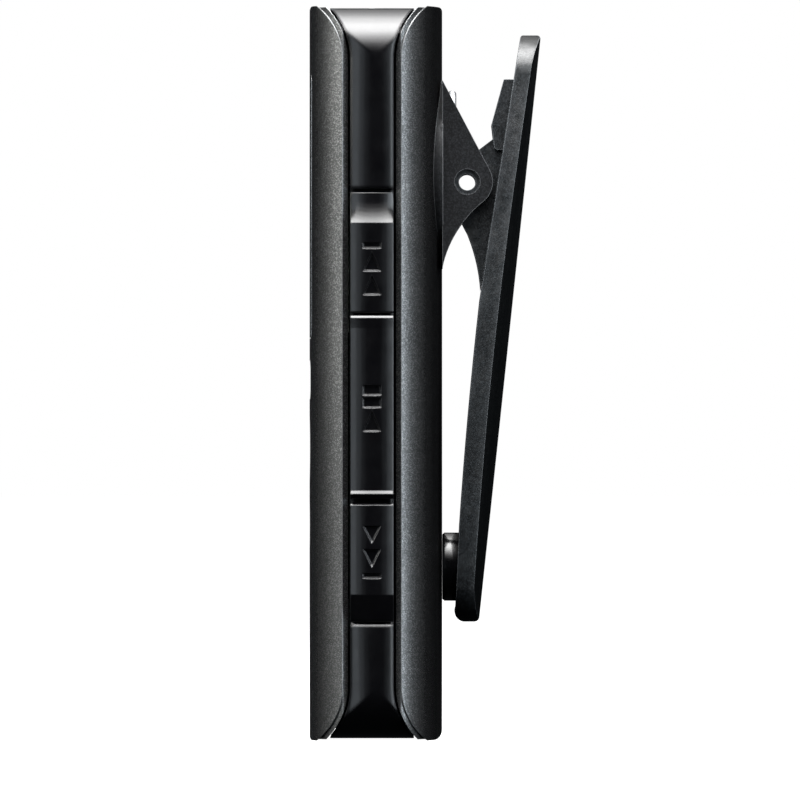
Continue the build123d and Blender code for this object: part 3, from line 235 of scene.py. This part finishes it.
def textured(name, color, edge, roughness, grain, contrast, sheen, turned_away_shade=0.0):
    """Spark-eroded texture with a silky sheen that dies away on turned faces, painted shade that darkens the
    colour on turned faces, and edges made lighter.
    """
    graph = Graph(name)
    away = graph.math("MULTIPLY", graph.turned_away(0.12, 0.42), turned_away_shade)
    shade, lean = graph.specks(grain)
    dark = shade_of(color, 1 / contrast)
    light = shade_of(color, contrast)
    tint = graph.mix(graph.span(shade, 0, 1, start=0.4, end=1.0), dark, light)
    tint = graph.mix(graph.span(graph.noise(160, detail=3), 0.0, 0.25), tint, light)
    # painted shade: the colour darkens on faces turned away from the view
    tint = graph.mix(away, tint, shade_of(color, 0.2))
    tint = graph.edges_worn_and_lit(tint, edge, radius=0.16, strength=0.75)
    rough = graph.span(graph.noise(1200, detail=3), roughness - 0.07, roughness + 0.07)
    normal = graph.bump(lean, 0.01, strength=0.5)
    shine = graph.span(away, sheen, sheen * 0.15, start=0.0, end=1.0)
    return graph.surface(tint, rough, 0.0, normal, Specular_IOR_Level=shine)


def brushed(name, color, roughness=0.28, along=(1, 1, 0.05), grain=5000):
    """Metal with fine drawn lines, or an even grain where all directions stretch alike."""
    graph = Graph(name)
    lines = graph.noise(grain, detail=3, stretch=along)
    tint = graph.mix(graph.span(lines, 0, 1), shade_of(color, 0.82), color)
    rough = graph.span(graph.noise(800, detail=3), roughness - 0.08, roughness + 0.1)
    return graph.surface(tint, rough, 1.0, graph.bump(lines, 0.004))


def screen(name):
    """A switched-off display: dark glass over a faint grid of picture cells."""
    graph = Graph(name)
    grid, _ = graph.tiles(
        0.22, 0.22, 0.02, (0.030, 0.036, 0.036), (0.034, 0.041, 0.040), (0.015, 0.018, 0.018), offset=0.0
    )
    rough = graph.span(graph.noise(400, detail=3), 0.1, 0.2)
    normal = graph.bump(graph.noise(150), 0.003)
    return graph.surface(grid, rough, 0.0, normal)


def window_glass(name):
    """Smoked clear plastic."""
    graph = Graph(name)
    tint = graph.blotches(150, 3, (0.16, 0.17, 0.18), (0.19, 0.2, 0.21))
    rough = graph.span(graph.noise(500, detail=4), 0.02, 0.07)
    normal = graph.bump(graph.noise(120), 0.003)
    return graph.surface(tint, rough, 0.0, normal, Transmission_Weight=0.9, IOR=1.45)


def open_weave(name, color, per_mm=6.0):
    """A fine woven mesh."""
    graph = Graph(name)
    strands = []
    for rotation in ((0, 0, 0), (0, pi / 2, 0)):
        wave = graph.add("ShaderNodeTexWave")
        space = graph.mapped(Rotation=rotation)
        graph.fill(wave, {"Vector": space, "Scale": per_mm / MM / 6.28, "Distortion": 0.4})
        strands.append(wave.outputs["Fac"])
    weave = graph.math("MAXIMUM", *strands)
    tint = graph.mix(weave, shade_of(color, 0.35), color)
    rough = graph.span(graph.noise(900), 0.7, 0.9)
    return graph.surface(tint, rough, 0.0, graph.bump(weave, 0.04))


def circuit(name):
    """Black solder mask with copper tracks under it."""
    graph = Graph(name)
    mask, tracks = graph.tiles(
        3.1, 0.9, 0.12, (0.004, 0.007, 0.006), (0.005, 0.009, 0.007), (0.012, 0.022, 0.017)
    )
    rough = graph.span(graph.noise(700), 0.25, 0.4)
    return graph.surface(mask, rough, 0.0, graph.bump(tracks, 0.02))


def spring_wire(name):
    """Drawn steel with die lines along the wire, and painted shade that darkens it towards its outline."""
    graph = Graph(name)
    lines = graph.noise(9000, detail=2, stretch=(1, 1, 0.04))
    tint = graph.mix(graph.span(lines, 0, 1), (0.50, 0.51, 0.52), (0.78, 0.79, 0.80))
    # painted shade: the wire darkens towards its outline
    tint = graph.mix(graph.turned_away(0.15, 0.6), tint, (0.06, 0.06, 0.065))
    rough = graph.span(graph.noise(900, detail=3), 0.3, 0.42)
    return graph.surface(tint, rough, 0.55, graph.bump(lines, 0.006), Specular_IOR_Level=0.2)


EVEN = (1, 1, 1)
looks = {
    "shell_paint": metallic_paint("shell_paint"),
    "gloss_black": gloss_black("gloss_black"),
    "black_plastic": plain("black_plastic", (0.018, 0.018, 0.019), 0.42, wear=(0.06, 0.06, 0.062)),
    "textured_black": textured(
        "textured_black", (0.0055, 0.0058, 0.0064), (0.12, 0.125, 0.13),
        roughness=0.5, grain=6500, contrast=2.0, sheen=0.13,
    ),
    "textured_arm": textured(
        "textured_arm", (0.0072, 0.0082, 0.009), (0.15, 0.16, 0.17),
        roughness=0.34, grain=7000, contrast=2.2, sheen=0.5, turned_away_shade=0.9,
    ),
    "window": window_glass("window"),
    "display": screen("display"),
    "white_plastic": plain("white_plastic", (0.62, 0.62, 0.6), 0.45),
    "board": circuit("board"),
    "chip": plain("chip", (0.02, 0.02, 0.022), 0.5, wear=(0.05, 0.05, 0.05)),
    "tin": brushed("tin", (0.74, 0.73, 0.70)),
    "soft_rubber": plain("soft_rubber", (0.016, 0.016, 0.017), 0.42, grain=3500, grain_depth=0.006),
    "cell_foil": brushed("cell_foil", (0.62, 0.64, 0.66), roughness=0.35, along=EVEN, grain=1500),
    "foam": open_weave("foam", (0.08, 0.08, 0.082)),
    "screw_steel": brushed("screw_steel", (0.16, 0.16, 0.165), along=EVEN, grain=3000),
    "spring_steel": spring_wire("spring_steel"),
}

# the band and the side keys have softer edges than the other gloss mouldings
softer_looks = {"centre_frame": gloss_black("band_gloss", soft_edge=0.7)}
key_gloss = gloss_black("key_gloss", soft_edge=0.2)
for name in ("key_previous", "key_play", "key_next"):
    softer_looks[name] = key_gloss

slots = {part["node"]: part["material_slot"] for part in frame["record"]["subparts"]}
for name, node in nodes.items():
    node.data.materials.clear()
    node.data.materials.append(softer_looks.get(name, looks[slots[name]]))

# crisp moulded edges catch the light: the width of each round in mm
ROUNDED = {
    "menu_key": 0.12,
    "record_key": 0.12,
    "stop_key": 0.12,
    "hold_slider": 0.08,
    "clip_bracket": 0.14,
    "clip_arm": 0.22,
    "clip_pad": 0.10,
    "display_window": 0.08,
    "headphone_jack": 0.08,
    "microphone_jack": 0.08,
    "usb_socket": 0.05,
    "case_screws": 0.04,
}
SAME_POINT = 0.002 * MM
SHARP = 0.6                     # an edge sharper than this angle, in radians, is rounded
for name, width in ROUNDED.items():
    node = nodes[name]
    weld = node.modifiers.new("weld", "WELD")
    weld.merge_threshold = SAME_POINT
    bevel = node.modifiers.new("rounded_edges", "BEVEL")
    bevel.width = width * MM
    bevel.segments = 2
    bevel.limit_method = "ANGLE"
    bevel.angle_limit = SHARP
    bevel.use_clamp_overlap = True
    bevel.harden_normals = True

# ---------------------------------------------------------------- clip spring
WIRE = 0.55 * MM                # radius
WIRE_SIDES = 14
COIL_RADIUS = 1.9 * MM
COIL_FROM = 0.62 * MM           # from the middle of the pivot
COIL_TO = 3.2 * MM
COIL_TURNS = 2.5
COIL_STEPS = 60
LEG_REACH = 1.3 * MM            # past the coil
LEG_RISE = 4.2 * MM             # above the pivot
BRIDGE_ABOVE = 11.66 * MM
BRIDGE_BEND = 0.5 * MM
BRIDGE_TUCK = 0.25 * MM
pivot = Vector(joints["clip_hinge"]["pos_m"])


def spring_path():
    """Points of the double torsion spring from one arm-side end to the other."""
    half = [Vector((COIL_TO, pivot.y + COIL_RADIUS + LEG_REACH, pivot.z + LEG_RISE))]
    for step in range(COIL_STEPS + 1):
        share = step / COIL_STEPS
        turn = tau * COIL_TURNS * share
        x = COIL_TO + (COIL_FROM - COIL_TO) * share
        half.append(Vector((x, pivot.y + COIL_RADIUS * cos(turn), pivot.z - COIL_RADIUS * sin(turn))))
    leg_y = pivot.y - COIL_RADIUS
    top = pivot.z + BRIDGE_ABOVE - WIRE
    half.append(Vector((COIL_FROM, leg_y, top - BRIDGE_BEND)))
    half.append(Vector((COIL_FROM - BRIDGE_TUCK, leg_y, top)))
    mirrored = [Vector((-p.x, p.y, p.z)) for p in reversed(half)]
    return half + mirrored


def tube(name, points, radius, sides):
    """A round wire along points, cut off square at its ends."""
    mesh = bmesh.new()
    rings = []
    across = None
    for i, point in enumerate(points):
        ahead = points[min(i + 1, len(points) - 1)] - points[max(i - 1, 0)]
        ahead.normalize()
        if across is None:
            across = ahead.orthogonal().normalized()
        across = (across - ahead * across.dot(ahead)).normalized()
        other = ahead.cross(across)
        ring = []
        for k in range(sides):
            angle = tau * k / sides
            ring.append(mesh.verts.new(point + (across * cos(angle) + other * sin(angle)) * radius))
        rings.append(ring)
    for a, b in zip(rings, rings[1:]):
        for k in range(sides):
            mesh.faces.new((a[k], a[(k + 1) % sides], b[(k + 1) % sides], b[k]))
    mesh.faces.new(list(reversed(rings[0])))
    mesh.faces.new(rings[-1])
    bmesh.ops.recalc_face_normals(mesh, faces=mesh.faces)
    data = bpy.data.meshes.new(name)
    mesh.to_mesh(data)
    mesh.free()
    for polygon in data.polygons:
        polygon.use_smooth = len(polygon.vertices) == 4
    piece = bpy.data.objects.new(name, data)
    bpy.context.scene.collection.objects.link(piece)
    return piece


spring = tube("clip_spring_wire", spring_path(), WIRE, WIRE_SIDES)
spring.data.materials.append(looks["spring_steel"])
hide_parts("clip_spring")
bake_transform(spring)

# ---------------------------------------------------------------- stage
WHITE = (1.0, 1.0, 1.0)
WARM = (1.0, 0.99, 0.93)
COOL = (0.85, 0.93, 1.0)
FLOOR_HALF = 4.0
FLOOR_DROP = 0.02 * MM
FILL = 0.01                     # light that the room sends onto the object

corners = [(-FLOOR_HALF, -FLOOR_HALF, 0), (FLOOR_HALF, -FLOOR_HALF, 0),
           (FLOOR_HALF, FLOOR_HALF, 0), (-FLOOR_HALF, FLOOR_HALF, 0)]
floor_mesh = bpy.data.meshes.new("floor")
floor_mesh.from_pydata(corners, [], [(0, 1, 2, 3)])
floor = bpy.data.objects.new("floor", floor_mesh)
floor.location.z = -FLOOR_DROP
bpy.context.scene.collection.objects.link(floor)
floor_look = Graph("floor")
floor_tint = floor_look.blotches(3, 2.0, (0.2, 0.2, 0.2), (0.22, 0.22, 0.22))
floor.data.materials.append(floor_look.surface(
    floor_tint, 0.9, 0.0, Specular_IOR_Level=0.0, Emission_Color=WHITE, Emission_Strength=1.0
))
floor.visible_diffuse = False
floor.visible_glossy = False

# the room looks white, and lights the object only faintly
world = bpy.data.worlds.new("studio")
bpy.context.scene.world = world
world.use_nodes = True
tree = world.node_tree
tree.nodes.clear()
path = tree.nodes.new("ShaderNodeLightPath")
blend = tree.nodes.new("ShaderNodeMixShader")
set_input(tree, blend.inputs["Fac"], path.outputs["Is Camera Ray"])
for place, color, strength in ((1, COOL, FILL), (2, WHITE, 1.0)):
    background = tree.nodes.new("ShaderNodeBackground")
    set_input(tree, background.inputs["Color"], color)
    set_input(tree, background.inputs["Strength"], strength)
    set_input(tree, blend.inputs[place], background.outputs["Background"])
out = tree.nodes.new("ShaderNodeOutputWorld")
set_input(tree, out.inputs["Surface"], blend.outputs["Shader"])

# ---------------------------------------------------------------- light
CENTRE = Vector((0, 3.04 * MM, 42.65 * MM))


def softbox(name, turn, elevation, distance, width, height, brightness, color=WHITE):
    """An area light that faces the object; turn 0 is the key side, and positive turns go towards the clip."""
    turn = turn * pi / 180
    rise = elevation * pi / 180
    direction = Vector((cos(turn) * cos(rise), sin(turn) * cos(rise), sin(rise)))
    data = bpy.data.lights.new(name, "AREA")
    data.shape = "RECTANGLE"
    data.size = width
    data.size_y = height
    data.energy = brightness * pi * width * height
    data.color = color
    light = bpy.data.objects.new(name, data)
    light.location = CENTRE + direction * distance
    light.rotation_euler = direction.to_track_quat("Z", "Y").to_euler()
    bpy.context.scene.collection.objects.link(light)


# a ceiling bank that fades down to the camera and down behind the object: brightness from front to back
CEILING = (0.6, 2.0, 6.0, 12.0, 19.0, 25.0, 26.0, 24.0, 18.0, 14.0, 9.0, 5.0, 3.0, 1.6, 1.0, 0.6)
CEILING_START = 28              # elevation in degrees
CEILING_STEP = 8
for row, brightness in enumerate(CEILING):
    rise = CEILING_START + row * CEILING_STEP
    softbox(f"ceiling_{rise}", 0, rise, 0.7, 0.9, 0.098, brightness)

# upright banks either side of the camera, brightening away from it: turn, elevation, brightness
UPRIGHTS = (
    (-150, 8, 1.6), (-45, 12, 1.8), (-36, 12, 1.9), (-27, 12, 0.8), (-18, 12, 0.2),
    (25, 8, 0.2), (34, 8, 1.0), (43, 8, 4.5), (52, 8, 9.5), (61, 8, 7.5),
)
for turn, rise, brightness in UPRIGHTS:
    softbox(f"upright_{turn}", turn, rise, 0.8, 0.125, 0.62, brightness, COOL)

# a near pair beside the front that starts at half height, so that its light dies away downwards
for turn in (-77, -68):
    softbox(f"near_{turn}", turn, 30, 0.4, 0.0625, 0.36, 9.5, WARM)

# ---------------------------------------------------------------- camera
DISTANCE = 1.6
VIEW_WIDTH = 100.2 * MM         # of the plane that lies VIEW_AHEAD in front of the centre
VIEW_AHEAD = 10 * MM
SENSOR = 36
camera_data = bpy.data.cameras.new("camera")
camera_data.sensor_width = SENSOR
camera_data.lens = SENSOR * (DISTANCE - VIEW_AHEAD) / VIEW_WIDTH
camera_data.clip_start = 0.05
camera = bpy.data.objects.new("camera", camera_data)
camera.location = CENTRE + Vector((DISTANCE, 0, 0))
camera.rotation_euler = (pi / 2, 0, pi / 2)
bpy.context.scene.collection.objects.link(camera)
bpy.context.scene.camera = camera
bpy.context.scene.view_settings.view_transform = "Standard"

bpy.context.view_layer.update()
